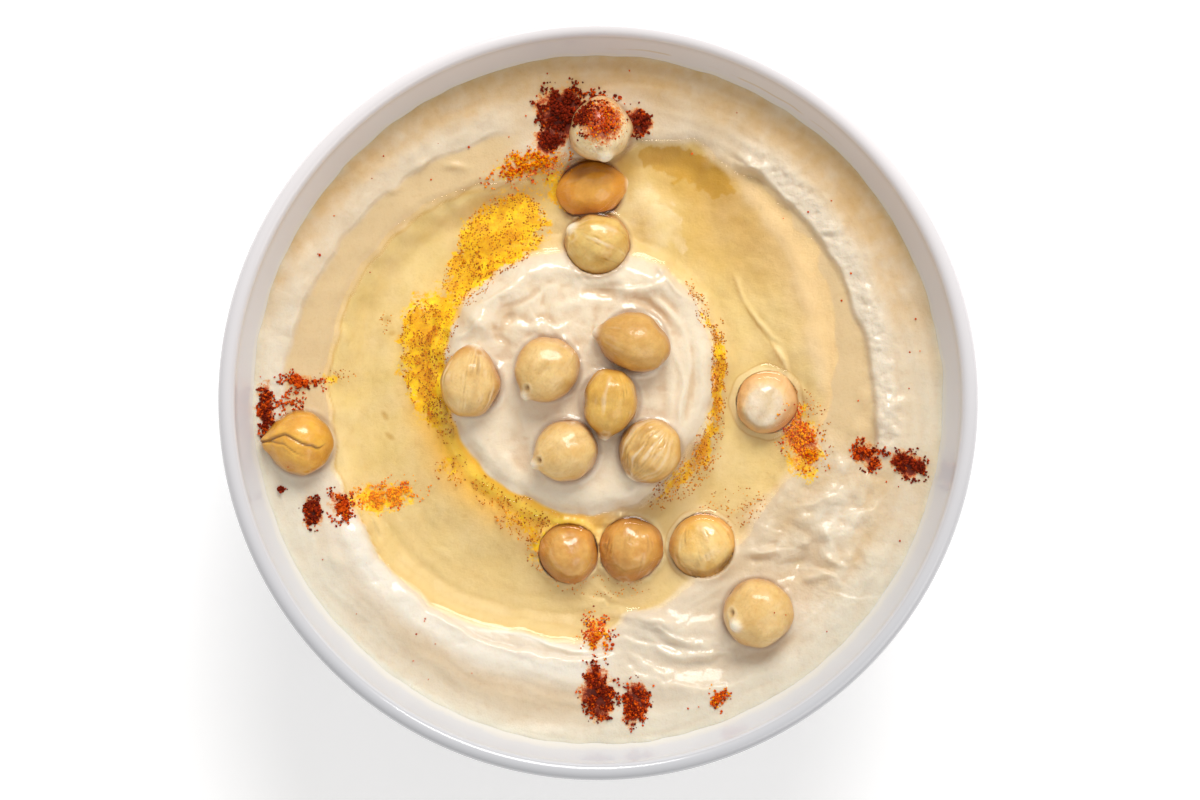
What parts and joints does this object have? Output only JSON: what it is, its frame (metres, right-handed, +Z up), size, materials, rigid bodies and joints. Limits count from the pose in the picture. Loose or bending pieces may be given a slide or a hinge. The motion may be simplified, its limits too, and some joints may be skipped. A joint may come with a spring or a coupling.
{
  "type": "bowl of hummus",
  "caption": "Spoon-swirled chickpea dip in a round footed white bowl, with a central mound, a moat of olive oil, whole chickpeas and pinches of paprika.",
  "frame": {"origin": "middle of the circle that the bowl's foot ring stands on, at table level", "axes": "+Z up out of the bowl; seen from above with +Y away from the viewer, the row of three chickpeas runs from the mound towards +Y"},
  "size_m": [0.14, 0.14, 0.0526],
  "materials": {
    "glaze": "glossy white glaze",
    "dip": "smooth moist paste, slightly oily",
    "oil": "clear golden liquid",
    "chickpea": "moist satin skin"
  },
  "bodies": {
    "root": {"bowl": "glaze", "hummus": "dip", "olive_oil": "oil", "chickpea_01": "chickpea", "chickpea_02": "chickpea", "chickpea_03": "chickpea", "chickpea_04": "chickpea", "chickpea_05": "chickpea", "chickpea_06": "chickpea", "chickpea_07": "chickpea", "chickpea_08": "chickpea", "chickpea_09": "chickpea", "chickpea_10": "chickpea", "chickpea_11": "chickpea", "chickpea_12": "chickpea", "chickpea_13": "chickpea", "chickpea_14": "chickpea", "chickpea_15": "chickpea"}
  },
  "joints": []
}
